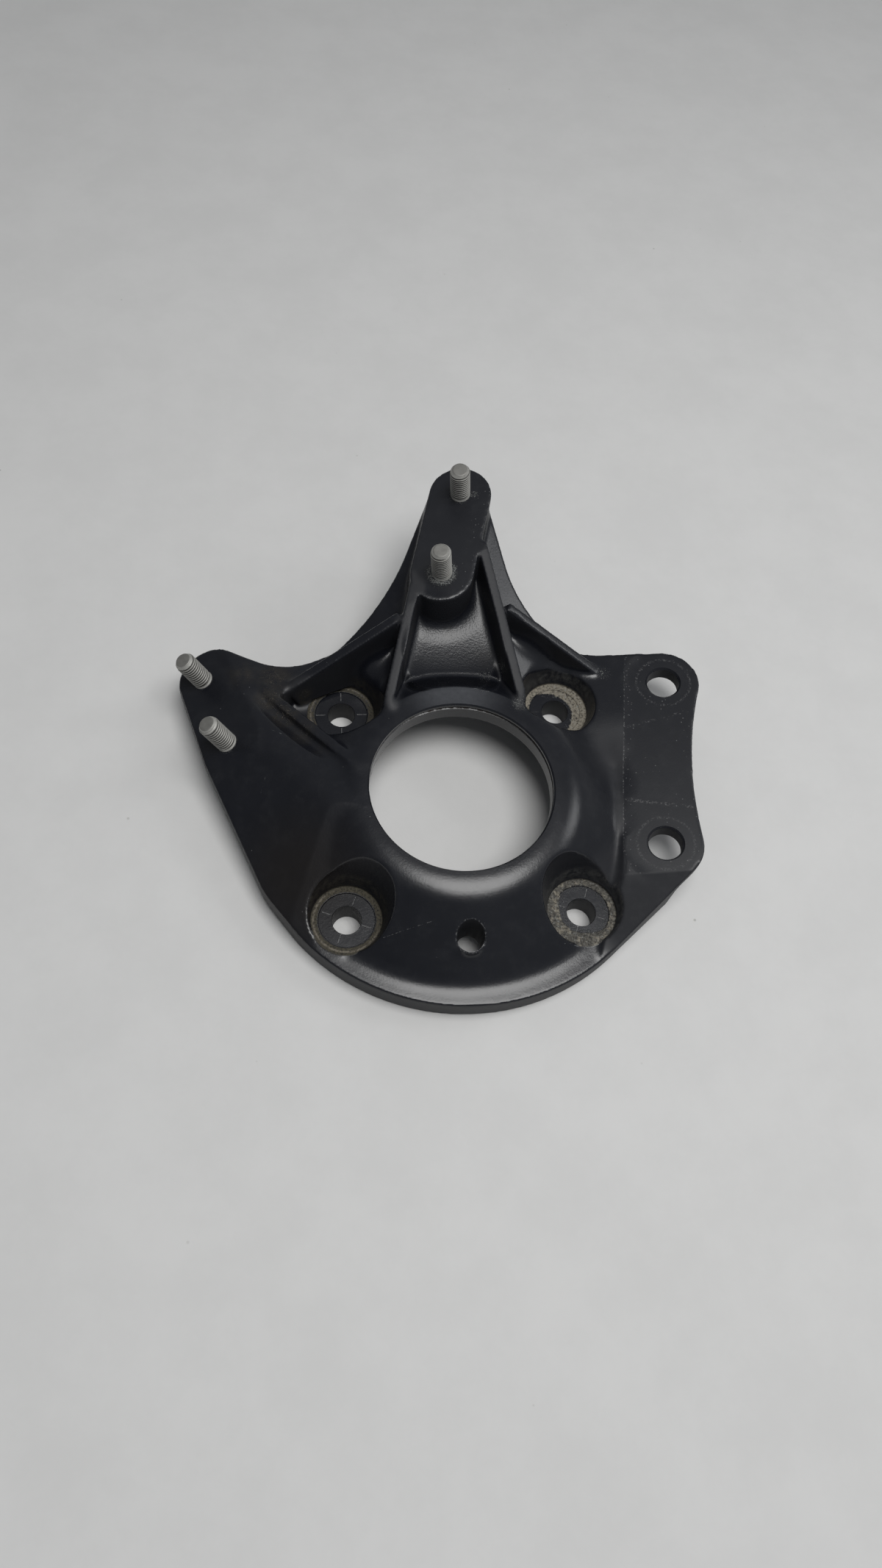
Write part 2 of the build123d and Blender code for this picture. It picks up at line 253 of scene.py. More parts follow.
def upright(x, y):
    """Matrix that moves something to a plan point given in mm."""
    return Matrix.Translation(Vector((x, y, 0)) * MM)


def square(half):
    """Matrices of the four corners of a square about the origin, half its side given in mm."""
    return [upright(x, y) for x in (-half, half) for y in (-half, half)]


def lathe(name, profile, steps=96, matrix=None):
    """Closed solid of revolution about Z from (radius, height) points in mm, first and last on the axis."""
    verts = []
    rings = []
    for r, z in profile:
        if r < 1e-6:
            rings.append([len(verts)])
            verts.append((0, 0, z * MM))
        else:
            rings.append(list(range(len(verts), len(verts) + steps)))
            for k in range(steps):
                a = 2 * math.pi * k / steps
                verts.append((r * MM * math.cos(a), r * MM * math.sin(a), z * MM))
    faces = []
    for low, high in zip(rings, rings[1:]):
        for k in range(steps):
            n = (k + 1) % steps
            if len(low) == 1:
                faces.append((low[0], high[n], high[k]))
            elif len(high) == 1:
                faces.append((low[k], low[n], high[0]))
            else:
                faces.append((low[k], low[n], high[n], high[k]))
    obj = new_object(name, verts, faces)
    bm = bmesh.new()
    bm.from_mesh(obj.data)
    bmesh.ops.recalc_face_normals(bm, faces=bm.faces)
    bm.to_mesh(obj.data)
    bm.free()
    if matrix is not None:
        obj.data.transform(matrix)
    return obj


def shade_smooth(obj):
    for polygon in obj.data.polygons:
        polygon.use_smooth = True


def apply_modifiers(obj):
    """Makes an object's modifiers part of its mesh."""
    deps = bpy.context.evaluated_depsgraph_get()
    mesh = bpy.data.meshes.new_from_object(obj.evaluated_get(deps))
    obj.modifiers.clear()
    old = obj.data
    obj.data = mesh
    bpy.data.meshes.remove(old)


def join(objects, name):
    """One mesh object from several; the others are removed."""
    bm = bmesh.new()
    for obj in objects:
        bm.from_mesh(obj.data)
    mesh = bpy.data.meshes.new(name)
    bm.to_mesh(mesh)
    bm.free()
    for obj in objects:
        bpy.data.objects.remove(obj)
    result = bpy.data.objects.new(name, mesh)
    bpy.context.scene.collection.objects.link(result)
    return result


def cut(obj, cutter):
    """Takes the cutter's form out of an object and removes the cutter."""
    modifier = obj.modifiers.new("cut", "BOOLEAN")
    modifier.object = cutter
    modifier.operation = "DIFFERENCE"
    modifier.solver = "EXACT"
    apply_modifiers(obj)
    bpy.data.objects.remove(cutter)


def plug(r, low, high, matrix=None, steps=48):
    """Short cylinder that fills a hole."""
    return lathe("plug", [(0, low), (r, low), (r, high), (0, high)], steps, matrix)


def cast_body():
    """The casting with its holes filled, remeshed and with its edges rounded."""
    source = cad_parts["mount_casting"]
    skin = source.copy()
    skin.data = source.data.copy()
    skin.parent = None
    bpy.context.scene.collection.objects.link(skin)
    solids = [skin, plug(BORE_PLUG_R, COLLAR_FLOOR_Z, COLLAR_Z, steps=96)]
    solids += [plug(BUSH_PLUG_R, 0, BUSH_PLUG_TOP, at) for at in square(BUSH_HALF)]
    solids += [plug(RIGHT_PLUG_R, -RIGHT_PLATE, 0, at) for at in right_seats]
    solids.append(plug(DRAIN_PLUG_R, *DRAIN_PLUG_ENDS, upright(0, DRAIN_Y)))
    solids += [plug(STUD_PLUG_R, -LEFT_PLATE, 0, at) for at in left_seats]
    solids += [plug(STUD_PLUG_R, -TOP_PLATE, 0, at) for at in top_seats]
    body = join(solids, "casting_skin")
    remesh = body.modifiers.new("remesh", "REMESH")
    remesh.mode = "VOXEL"
    remesh.voxel_size = VOXEL * MM
    apply_modifiers(body)
    round_edges(body)
    thin = body.modifiers.new("thin", "DECIMATE")
    thin.ratio = min(1.0, BODY_TRIANGLES / (2 * len(body.data.polygons)))
    apply_modifiers(body)
    return body


def neighbour_mean(points, edges, count):
    """Mean of each point's neighbours along the edges."""
    total = np.empty_like(points)
    for axis in range(3):
        total[:, axis] = np.bincount(edges[:, 0], points[edges[:, 1], axis], len(points))
        total[:, axis] += np.bincount(edges[:, 1], points[edges[:, 0], axis], len(points))
    return total / count[:, None]


def point_normals(points, quads):
    """Normal of each point from its four-sided faces."""
    face = np.cross(points[quads[:, 2]] - points[quads[:, 0]], points[quads[:, 3]] - points[quads[:, 1]])
    normals = np.empty_like(points)
    for axis in range(3):
        normals[:, axis] = sum(np.bincount(quads[:, k], face[:, axis], len(points)) for k in range(4))
    return normals / np.maximum(np.linalg.norm(normals, axis=1), 1e-12)[:, None]


def strength(points, spots):
    """Strength of the nearest spot at each point: 1 in its middle and 0 beyond its reach."""
    share = np.zeros(len(points))
    for x, y, z, reach in spots:
        distance = np.linalg.norm(points - (x, y, z), axis=1)
        share = np.maximum(share, np.clip(SPOT_FADE - SPOT_FADE * distance / reach, 0, 1))
    return share


def broaden(points, edges):
    """Wide, soft forms at the broad spots: many passes over the few points there."""
    share = strength(points, BROAD_SPOTS)
    inside = share > 0
    edges = edges[inside[edges[:, 0]] | inside[edges[:, 1]]]
    chosen, edges = np.unique(edges, return_inverse=True)
    edges = edges.reshape(-1, 2)
    local = points[chosen]
    weight = FILLET_SHARE * share[chosen, None]
    count = np.bincount(edges.ravel(), minlength=len(local)).astype(float)
    for step in range(BROAD_STEPS):
        local += (neighbour_mean(local, edges, count) - local) * weight
    points[chosen] = local


def round_edges(body):
    """Cast edges: small rounds on the outer corners, larger fillets in the inner ones."""
    mesh = body.data
    points = np.empty(len(mesh.vertices) * 3)
    mesh.vertices.foreach_get("co", points)
    points = points.reshape(-1, 3) / MM
    edges = np.empty(len(mesh.edges) * 2, dtype=np.int64)
    mesh.edges.foreach_get("vertices", edges)
    edges = edges.reshape(-1, 2)
    quads = np.array([tuple(polygon.vertices) for polygon in mesh.polygons if len(polygon.vertices) == 4])
    count = np.bincount(edges.ravel(), minlength=len(points)).astype(float)
    soft = strength(points, SOFT_SPOTS)
    for step in range(SMOOTH_STEPS + FILLET_STEPS):
        if step % NORMALS_EVERY == 0:
            normals = point_normals(points, quads)
        shift = neighbour_mean(points, edges, count) - points
        rise = np.einsum("ij,ij->i", shift, normals)
        if step < SMOOTH_STEPS:
            weight = np.full(len(points), SMOOTH_SHARE)
        else:
            weight = np.where(rise > 0, FILLET_SHARE, 0.0)
        weight = np.maximum(weight, FILLET_SHARE * soft)
        points += shift * weight[:, None]
    broaden(points, edges)
    mesh.vertices.foreach_set("co", (points * MM).ravel())
    mesh.update()


def bore_cutter():
    """Bore with a chamfered mouth, a thin lip and the groove below it."""
    floor = COLLAR_FLOOR_Z - 5
    lip = BORE_R + 0.1
    groove = BORE_R + LIP_GROOVE
    profile = [
        (0, floor),
        (BORE_R, floor),
        (BORE_R, COLLAR_Z - 3.6),
        (groove, COLLAR_Z - 3.2),
        (groove, COLLAR_Z - 2.2),
        (lip, COLLAR_Z - 1.9),
        (lip, COLLAR_Z - 0.7),
        (BORE_R + BORE_CHAMFER, COLLAR_Z + 2.0),
        (0, COLLAR_Z + 2.0),
    ]
    return lathe("bore_cutter", profile, 256)


def pocket_cutter(at):
    """Bolt hole, the shallow disc round it and the spot face."""
    above = SPOT_Z + 2.5
    profile = [
        (0, -2),
        (BUSH_R, -2),
        (BUSH_R, DISC_Z - DISC_MOUTH),
        (BUSH_R + DISC_MOUTH, DISC_Z),
        (DISC_R - DISC_BEVEL, DISC_Z),
        (DISC_R, SPOT_Z),
        (SPOT_R, SPOT_Z),
        (SPOT_R, above),
        (0, above),
    ]
    return lathe("pocket_cutter", profile, 128, at)


def right_cutter(at):
    """Hole of the right pad with a bevelled mouth."""
    mouth = RIGHT_HOLE_R + RIGHT_HOLE_BEVEL
    profile = [(0, -12), (RIGHT_HOLE_R, -12), (RIGHT_HOLE_R, -0.9), (mouth, 0.7), (0, 0.7)]
    return lathe("hole_cutter", profile, 128, at)


def stud_cutter(at):
    """Plain hole for a stud's neck."""
    r = STUD_R + HOLE_ROOM
    return lathe("stud_cutter", [(0, -14), (r, -14), (r, 2), (0, 2)], 64, at)


def cut_holes(body):
    """Cuts the holes again, crisp, after the edges are rounded."""
    cutters = [bore_cutter()]
    cutters += [pocket_cutter(at) for at in square(BUSH_HALF)]
    drain = [(0, DRAIN_TAPER[0][1]), *DRAIN_TAPER, (0, DRAIN_TAPER[-1][1])]
    cutters.append(lathe("drain_cutter", drain, 96, upright(0, DRAIN_Y)))
    cutters += [right_cutter(at) for at in right_seats]
    cutters += [stud_cutter(at) for at in left_seats + top_seats]
    cut(body, join(cutters, "hole_cutters"))


body = cast_body()
cut_holes(body)
shade_smooth(body)
body.data.set_sharp_from_angle(angle=math.radians(SHARP_ANGLE))
weigh = body.modifiers.new("weigh", "WEIGHTED_NORMAL")
weigh.keep_sharp = True
apply_modifiers(body)
body.data.name = "casting_skin"
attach(body, "root")
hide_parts("mount_casting")


def thread_radius(z, turn):
    """Radius of the thread at a height and a share of a turn, faded in at the foot and thin at the end."""
    phase = (z / STUD_PITCH - turn) % 1.0
    tooth = abs(2 * phase - 1)
    share = min(1.0, max(0.0, (tooth - ROOT_FLAT) / FLANK))
    r = THREAD_ROOT + (THREAD_CREST - THREAD_ROOT) * share
    fade = min(1.0, (z - THREAD_START) / THREAD_FADE + 0.15)
    r = THREAD_ROOT + 0.1 + (r - THREAD_ROOT - 0.1) * fade
    if z < STUD_LENGTH - END_TAPER:
        return min(r, THREAD_CREST)
    limit = STUD_R - 0.3 - max(0.0, z - (STUD_LENGTH - 1.6)) * 0.75
    return min(r, max(limit, STUD_R - 1.3))


def stud_rings(plate):
    """Rings of (radius, height) lists from the head's underside to the stud's end."""
    head = -plate - STUD_HEAD_HEIGHT
    below = [
        (0.05, head),
        (STUD_HEAD_R - 0.7, head),
        (STUD_HEAD_R, head + 0.5),
        (STUD_HEAD_R, -plate),
        (STUD_R, -plate),
        (STUD_R, 0.0),
        (STUD_R - 0.1, 0.5),
    ]
    above = [
        (STUD_R - 1.15, STUD_LENGTH - 0.35),
        (STUD_R - 1.4, STUD_LENGTH - 0.05),
        (STUD_R - 1.9, STUD_LENGTH),
        (0.05, STUD_LENGTH - 0.15),
    ]
    turns = (THREAD_END - THREAD_START) / STUD_PITCH
    levels = int(turns * THREAD_ROWS)
    rings = [([r] * THREAD_STEPS, z) for r, z in below]
    for level in range(levels + 1):
        z = THREAD_START + (THREAD_END - THREAD_START) * level / levels
        rings.append(([thread_radius(z, k / THREAD_STEPS) for k in range(THREAD_STEPS)], z))
    return rings + [([r] * THREAD_STEPS, z) for r, z in above]


def stud(name, matrix, spin, plate):
    """Stud with its head under a plate of the given thickness, a helical thread and a chamfered end."""
    verts = []
    faces = []
    for radii, z in stud_rings(plate):
        for k, r in enumerate(radii):
            a = 2 * math.pi * k / THREAD_STEPS
            verts.append((r * MM * math.cos(a), r * MM * math.sin(a), z * MM))
    for low in range(0, len(verts) - THREAD_STEPS, THREAD_STEPS):
        high = low + THREAD_STEPS
        for k in range(THREAD_STEPS):
            n = (k + 1) % THREAD_STEPS
            faces.append((low + k, low + n, high + n, high + k))
    faces.append(tuple(reversed(range(THREAD_STEPS))))
    faces.append(tuple(range(len(verts) - THREAD_STEPS, len(verts))))
    obj = new_object(name, verts, faces)
    # painted shade: a point attribute that darkens the thread roots and the end face, as if in shadow
    root_shade_of = obj.data.attributes.new("root_shade", "FLOAT", "POINT")
    for index, (x, y, z) in enumerate(verts):
        in_thread = THREAD_START * MM < z < (STUD_LENGTH - 1.7) * MM
        below_crest = (THREAD_CREST - math.hypot(x, y) / MM) / (THREAD_CREST - THREAD_ROOT)
        dark = min(1.0, max(0.0, below_crest * 1.9 - 0.12)) if in_thread else 0.0
        if z > (STUD_LENGTH - 0.2) * MM:
            dark = STUD_END_SHADE
        root_shade_of.data[index].value = dark
    obj.data.transform(matrix @ Matrix.Rotation(spin, 4, "Z"))
    shade_smooth(obj)
    return obj


stud_specs = [
    ("stud_left_upper", left_seats[0], 0.4, LEFT_PLATE, "left_stud_upper"),
    ("stud_left_lower", left_seats[1], 2.1, LEFT_PLATE, "left_stud_lower"),
    ("stud_top_inner", top_seats[0], 4.0, TOP_PLATE, "top_stud_inner"),
    ("stud_top_outer", top_seats[1], 5.2, TOP_PLATE, "top_stud_outer"),
]
studs = []
for name, matrix, spin, plate, node in stud_specs:
    obj = stud(name, matrix, spin, plate)
    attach(obj, "root")
    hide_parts(node)
    studs.append(obj)


class Nodes:
    """Short calls for building a node material; places and scales are in millimetres."""

    def __init__(self, name):
        self.material = bpy.data.materials.new(name)
        self.material.use_nodes = True
        self.tree = self.material.node_tree
        self.bsdf = self.tree.nodes["Principled BSDF"]
        here = self.tree.nodes.new("ShaderNodeTexCoord").outputs["Object"]
        scale = self.tree.nodes.new("ShaderNodeVectorMath")
        scale.operation = "SCALE"
        scale.inputs["Scale"].default_value = 1 / MM
        self.link(here, scale.inputs[0])
        self.place = scale.outputs[0]
        split = self.tree.nodes.new("ShaderNodeSeparateXYZ")
        self.link(self.place, split.inputs[0])
        self.x, self.y, self.z = split.outputs
        facing = self.tree.nodes.new("ShaderNodeNewGeometry").outputs["True Normal"]
        split = self.tree.nodes.new("ShaderNodeSeparateXYZ")
        self.link(facing, split.inputs[0])
        self.up = split.outputs[2]

    def link(self, a, b):
        self.tree.links.new(a, b)

    def put(self, value, socket):
        if isinstance(value, tuple):
            socket.default_value = (*value, 1.0)
        elif isinstance(value, (int, float)):
            socket.default_value = value
        else:
            self.link(value, socket)

    def noise(self, size, detail=3.0, rough=0.55):
        """Noise whose lumps are about the given size across."""
        n = self.tree.nodes.new("ShaderNodeTexNoise")
        n.inputs["Scale"].default_value = 1 / size
        n.inputs["Detail"].default_value = detail
        n.inputs["Roughness"].default_value = rough
        self.link(self.place, n.inputs["Vector"])
        return n.outputs["Fac"]

    def specks(self, size, radius):
        """Round specks, one at most in each cell of the given size."""
        n = self.tree.nodes.new("ShaderNodeTexVoronoi")
        n.inputs["Scale"].default_value = 1 / size
        self.link(self.place, n.inputs["Vector"])
        return self.ramp(n.outputs["Distance"], radius, radius * 0.4)

    def math(self, operation, a, b=0.0, c=0.0):
        n = self.tree.nodes.new("ShaderNodeMath")
        n.operation = operation
        for socket, value in zip(n.inputs, (a, b, c)):
            self.put(value, socket)
        return n.outputs[0]

    def times(self, a, b):
        return self.math("MULTIPLY", a, b)

    def plus(self, a, b):
        return self.math("ADD", a, b)

    def minus(self, a, b):
        return self.math("SUBTRACT", a, b)

    def scaled(self, value, factor, offset):
        """Value times a factor plus an offset."""
        return self.math("MULTIPLY_ADD", value, factor, offset)

    def size_of(self, value):
        """Value without its sign."""
        return self.math("ABSOLUTE", value)

    def all_of(self, *masks):
        """Product of masks."""
        result = masks[0]
        for mask in masks[1:]:
            result = self.times(result, mask)
        return result

    def any_of(self, *masks):
        """Largest of masks."""
        result = masks[0]
        for mask in masks[1:]:
            result = self.math("MAXIMUM", result, mask)
        return result

    def ramp(self, value, low, high):
        """0 at low and 1 at high, smooth between; low may be the larger."""
        n = self.tree.nodes.new("ShaderNodeMapRange")
        n.interpolation_type = "SMOOTHSTEP"
        n.inputs["From Min"].default_value = min(low, high)
        n.inputs["From Max"].default_value = max(low, high)
        n.inputs["To Min"].default_value = 0.0 if low < high else 1.0
        n.inputs["To Max"].default_value = 1.0 if low < high else 0.0
        self.link(value, n.inputs["Value"])
        return n.outputs["Result"]

    def near(self, x, y, z, inner, outer):
        """1 within the inner distance of a point, 0 beyond the outer one."""
        n = self.tree.nodes.new("ShaderNodeVectorMath")
        n.operation = "DISTANCE"
        self.link(self.place, n.inputs[0])
        n.inputs[1].default_value = (x, y, z)
        return self.ramp(n.outputs["Value"], outer, inner)

    def radius(self, x, y):
        """Distance from an upright axis."""
        dx = self.minus(self.x, x)
        dy = self.minus(self.y, y)
        return self.math("SQRT", self.plus(self.times(dx, dx), self.times(dy, dy)))

    def line(self, a, b, half):
        """Band of the given half width about the plan line through two points."""
        length = math.dist(a, b)
        nx, ny = (b[1] - a[1]) / length, (a[0] - b[0]) / length
        along_x = self.scaled(self.x, nx, -(nx * a[0] + ny * a[1]))
        distance = self.scaled(self.y, ny, along_x)
        return self.ramp(self.size_of(distance), half, half * 0.4)

    def between(self, value, low, high, soft):
        """1 where the value lies between two limits."""
        above = self.ramp(value, low - soft, low + soft)
        below = self.ramp(value, high + soft, high - soft)
        return self.times(above, below)

    def mix(self, factor, a, b):
        n = self.tree.nodes.new("ShaderNodeMix")
        n.data_type = "RGBA"
        self.put(factor, n.inputs["Factor"])
        self.put(a, n.inputs[6])
        self.put(b, n.inputs[7])
        return n.outputs[2]

    def blend(self, factor, a, b):
        """Number between a and b."""
        n = self.tree.nodes.new("ShaderNodeMix")
        self.put(factor, n.inputs["Factor"])
        self.put(a, n.inputs[2])
        self.put(b, n.inputs[3])
        return n.outputs[0]

    def bump(self, height, distance, strength=1.0, normal=None):
        n = self.tree.nodes.new("ShaderNodeBump")
        n.inputs["Strength"].default_value = strength
        n.inputs["Distance"].default_value = distance * MM
        self.link(height, n.inputs["Height"])
        if normal is not None:
            self.link(normal, n.inputs["Normal"])
        return n.outputs["Normal"]


# Places of pale dust and of brown dirt: X, Y, Z, inner and outer distance in millimetres, and weight
DUST_SPOTS = (
    (*TOP_STUDS[0], TOP_Z, 5.6, 11.0, 1.0),
    (*TOP_STUDS[1], TOP_Z + 4, 5.4, 8.0, 0.62),
    (14.5, 148, 68, 1.0, 5.0, 0.8),
    (-32, 51, 40, 1, 5.0, 0.5),
    (31, 43, 40, 1, 9.0, 0.85),
    (26, 66, 38, 1, 10.0, 0.75),
    (38, 62, 32, 1, 10.0, 0.75),
    (46, 74, 34, 1, 9.0, 0.55),
    (-24, 68, 40, 1, 5.0, 0.45),
    (79, 69, 25, 1, 8.0, 0.7),
    (13, 51, 40, 1, 8.0, 0.62),
    (17, 64, 34, 1, 9.0, 0.7),
    (*LEFT_STUDS[1], 29, 5.2, 7.2, 0.6),
    (*LEFT_STUDS[0], 23, 5.2, 6.8, 0.5),
    (*RIGHT_HOLES[1], 28, 9.0, 11.0, 0.40),
)
DIRT_SPOTS = (
    (-86, 66, 29, 2, 15, 0.85),
    (-88, 53, 31, 2, 13, 0.9),
    (-81, 43, 33, 2, 13, 0.85),
    (-73, 33, 35, 2, 12, 0.65),
    (-64, 23, 37, 1, 9, 0.4),
    (-71, 58, 24, 1, 8, 0.95),
    (-101, 68, 27, 2, 13, 0.7),
    (0, 84, 42, 2, 6, 0.6),
    (18, 72, 40, 1, 14, 0.5),
)


class Paint(Nodes):
    """Satin black paint on a cast skin, with the dust, corrosion and dirt of use."""

    def __init__(self):
        super().__init__("black_paint")
        self.fine = self.noise(0.7, 2.0, 0.6)
        self.grain = self.noise(0.95, 2.0, 0.5)
        self.peel = self.noise(3.2, 2.0, 0.5)
        self.broad = self.noise(24, 3.0, 0.6)
        self.crumbs = self.noise(1.1, 4.0, 0.75)
        self.crust = self.noise(2.6, 4.0, 0.7)
        self.dust_grain = self.noise(0.55, 3.0, 0.75)
        self.find_pads()
        self.find_pockets()
        self.find_rings()
        self.find_dust()
        self.find_specks()
        self.find_dirt()
        self.find_scratches()
        self.web = self.times(self.near(0, 88, 46, 18, 34), self.ramp(self.up, 0.99, 0.95))
        self.set_colour()
        self.set_roughness()
        self.set_bump()

    def spots(self, spots):
        """Largest of several soft spots (X, Y, Z, inner and outer distance, weight)."""
        return self.any_of(*[self.times(self.near(*spot[:5]), spot[5]) for spot in spots])

    def find_pads(self):
        """Machined pads: plan regions on their faces."""
        (x1, y1), (x0, y0) = RIGHT_HOLES
        run = math.hypot(x1 - x0, y1 - y0)
        nx, ny = (y1 - y0) / run, (x0 - x1) / run
        self.off = self.scaled(self.y, ny, self.scaled(self.x, nx, -(nx * x0 + ny * y0)))
        self.right_face = self.all_of(
            self.ramp(self.off, -20.0, -19.0),
            self.between(self.y, -40.5, 78, 1.0),
            self.ramp(self.up, 0.9, 0.96),
        )
        left_face = self.all_of(
            self.ramp(self.x, -88, -93), self.ramp(self.up, 0.88, 0.93), self.ramp(self.z, 18, 20)
        )
        self.top_face = self.all_of(
            self.ramp(self.z, 60, 61), self.ramp(self.y, 84, 88), self.ramp(self.up, 0.96, 0.985)
        )
        self.pads = self.any_of(self.right_face, left_face, self.top_face)

    def find_pockets(self):
        """Pockets: one distance serves all four, and the signs of X and Y tell them apart."""
        self.ax = self.minus(self.size_of(self.x), BUSH_HALF)
        self.ay = self.minus(self.size_of(self.y), BUSH_HALF)
        squares = self.plus(self.times(self.ax, self.ax), self.times(self.ay, self.ay))
        self.r = self.math("SQRT", squares)
        self.right_side = self.ramp(self.x, -5, 5)
        self.front = self.ramp(self.y, 5, -5)
        self.rear_right = self.times(self.right_side, self.ramp(self.y, -5, 5))
        self.front_right = self.times(self.right_side, self.front)
        self.seat_face = self.all_of(
            self.ramp(self.r, 17.2, 16.4), self.ramp(self.z, 15.4, 14.8), self.ramp(self.z, 12.5, 13.2)
        )
        self.wall_dust = self.all_of(
            self.between(self.r, 16.6, 21.0, 1.0),
            self.between(self.z, 14.5, 23, 2.5),
            self.ramp(self.up, 0.75, 0.6),
        )

    def find_rings(self):
        """Corrosion round the discs, and the four radial marks on each."""
        # it creeps over the disc from the right in one right pocket, from the front and inside in the other
        to_right = self.ramp(self.plus(self.ax, self.times(self.ay, 0.45)), -6, 11)
        to_front = self.ramp(self.minus(self.ay, self.ax), -4, 12)
        lean_rear = self.times(self.rear_right, to_right)
        lean_front = self.times(self.front_right, to_front)
        creep = self.scaled(lean_front, 3.0, self.times(self.front_right, 0.4))
        creep = self.scaled(lean_rear, 5.0, creep)
        ragged = self.scaled(self.right_side, 2.6, 1.0)
        edge = self.plus(self.r, self.scaled(self.minus(self.crumbs, 0.5), ragged, creep))
        rear_left = self.times(self.minus(1.0, self.right_side), self.minus(1.0, self.front))
        patchy = self.ramp(self.crust, 0.42, 0.60)
        gap = self.all_of(rear_left, self.between(self.r, 13.9, 15.3, 0.3), patchy)
        ring = self.times(self.ramp(edge, DISC_R + 0.1, DISC_R + 0.7), self.seat_face)
        ring = self.times(ring, self.scaled(gap, -0.75, 1.0))
        self.ring = self.times(ring, self.ramp(self.crumbs, 0.30, 0.50))
        white_here = self.any_of(lean_front, lean_rear, self.times(self.front_right, 0.8))
        white = self.all_of(self.ramp(self.crumbs, 0.57, 0.64), white_here, self.seat_face)
        self.white = self.times(white, self.ramp(edge, DISC_R - 2.0, DISC_R))
        # the marks are turned a little in the front pockets
        turn = self.times(self.front, self.scaled(self.right_side, 0.75, -0.39))
        u = self.scaled(self.ay, turn, self.ax)
        v = self.minus(self.ay, self.times(self.ax, turn))
        spoke = self.any_of(self.spoke(u, v), self.spoke(v, u))
        worn = self.times(self.ramp(self.fine, 0.34, 0.52), self.scaled(self.rear_right, -0.9, 1.0))
        self.spokes = self.all_of(spoke, self.seat_face, worn)

    def spoke(self, across, along):
        """Pair of radial marks, thin across one direction."""
        thin = self.ramp(self.size_of(across), 0.34, 0.16)
        return self.times(thin, self.between(self.size_of(along), 8.0, 12.4, 0.4))

    def find_dust(self):
        """Pale powder: dense at the spots, thinning out into grains round them."""
        here = self.spots(DUST_SPOTS)
        level = self.plus(self.times(self.dust_grain, 0.75), self.times(self.crumbs, 0.25))
        powder = self.ramp(self.minus(level, self.scaled(here, -0.30, 0.74)), 0.0, 0.10)
        self.powder = self.times(powder, self.ramp(here, 0.02, 0.2))

    def find_specks(self):
        """Pale specks, and the fine chalky lines of the right pad."""
        in_parts = self.ramp(self.noise(11, 2.0), 0.42, 0.56)
        inner_edge = self.ramp(self.size_of(self.plus(self.off, 17.5)), 2.6, 1.0)
        beside = self.minus(self.x, self.times(self.y, 0.26))
        self.specked = self.any_of(
            self.all_of(self.specks(2.6, 0.13), self.right_face, in_parts),
            self.all_of(self.specks(1.7, 0.17), self.right_face, inner_edge),
            self.all_of(self.specks(8.0, 0.035), self.ramp(self.up, 0.5, 0.7)),
            self.all_of(self.specks(2.4, 0.12), self.ramp(beside, -24.0, -19.5), self.top_face),
        )
        broken = self.ramp(self.crumbs, 0.50, 0.60)
        round_holes = [self.between(self.radius(x, y), 12.8, 13.8, 0.4) for x, y in RIGHT_HOLES]
        self.chalk = self.all_of(self.any_of(*round_holes), broken, self.right_face)
        corner_line = self.ramp(self.size_of(self.plus(self.off, 19.4)), 0.40, 0.15)
        corner = self.times(corner_line, self.between(self.y, -30, 70, 2))
        patchy = self.noise(6, 3.0, 0.7)
        streaks = self.any_of(
            self.times(self.line((84, 37), (118, 44), 0.9), self.ramp(patchy, 0.45, 0.6)),
            self.times(self.line((84, -3), (112, -9), 1.2), self.ramp(patchy, 0.40, 0.6)),
        )
        lines = self.any_of(corner, self.times(streaks, self.right_face))
        self.fine_lines = self.all_of(lines, broken, self.ramp(self.up, 0.8, 0.9))

    def find_dirt(self):
        """Brown dirt in the corners of the left ribs, thin and made of small specks."""
        here = self.spots(DIRT_SPOTS)
        level = self.plus(self.times(self.dust_grain, 0.75), self.times(self.crust, 0.40))
        dirt = self.ramp(self.minus(level, self.scaled(here, -0.20, 0.79)), 0.0, 0.10)
        self.dirt = self.times(dirt, self.ramp(here, 0.02, 0.3))
        self.stain = self.times(self.ramp(here, 0.0, 0.9), self.ramp(self.noise(5, 4.0, 0.7), 0.25, 0.65))
        self.rust_line = self.all_of(
            self.between(self.z, COLLAR_Z - 3.5, COLLAR_Z - 1.8, 0.2),
            self.ramp(self.radius(0, 0), BORE_R + 2.0, BORE_R + 1.4),
            self.ramp(self.crust, 0.46, 0.62),
        )

    def find_scratches(self):
        """Scratches by the drain hole and across the left flank."""
        scratch = self.any_of(
            self.times(self.line((-38, -66), (-18, -62.5), 0.16), self.between(self.x, -40, -17, 1)),
            self.times(self.line((-92, 4), (-90, 10), 0.2), self.between(self.y, 4, 10, 1)),
            self.times(self.line((-86, 33), (-80, 30), 0.25), self.between(self.x, -86, -80, 1)),
            self.between(self.radius(0, DRAIN_Y), 6.3, 6.9, 0.25),
        )
        broken = self.ramp(self.crumbs, 0.52, 0.60)
        self.scratch = self.all_of(scratch, broken, self.ramp(self.up, 0.5, 0.7))

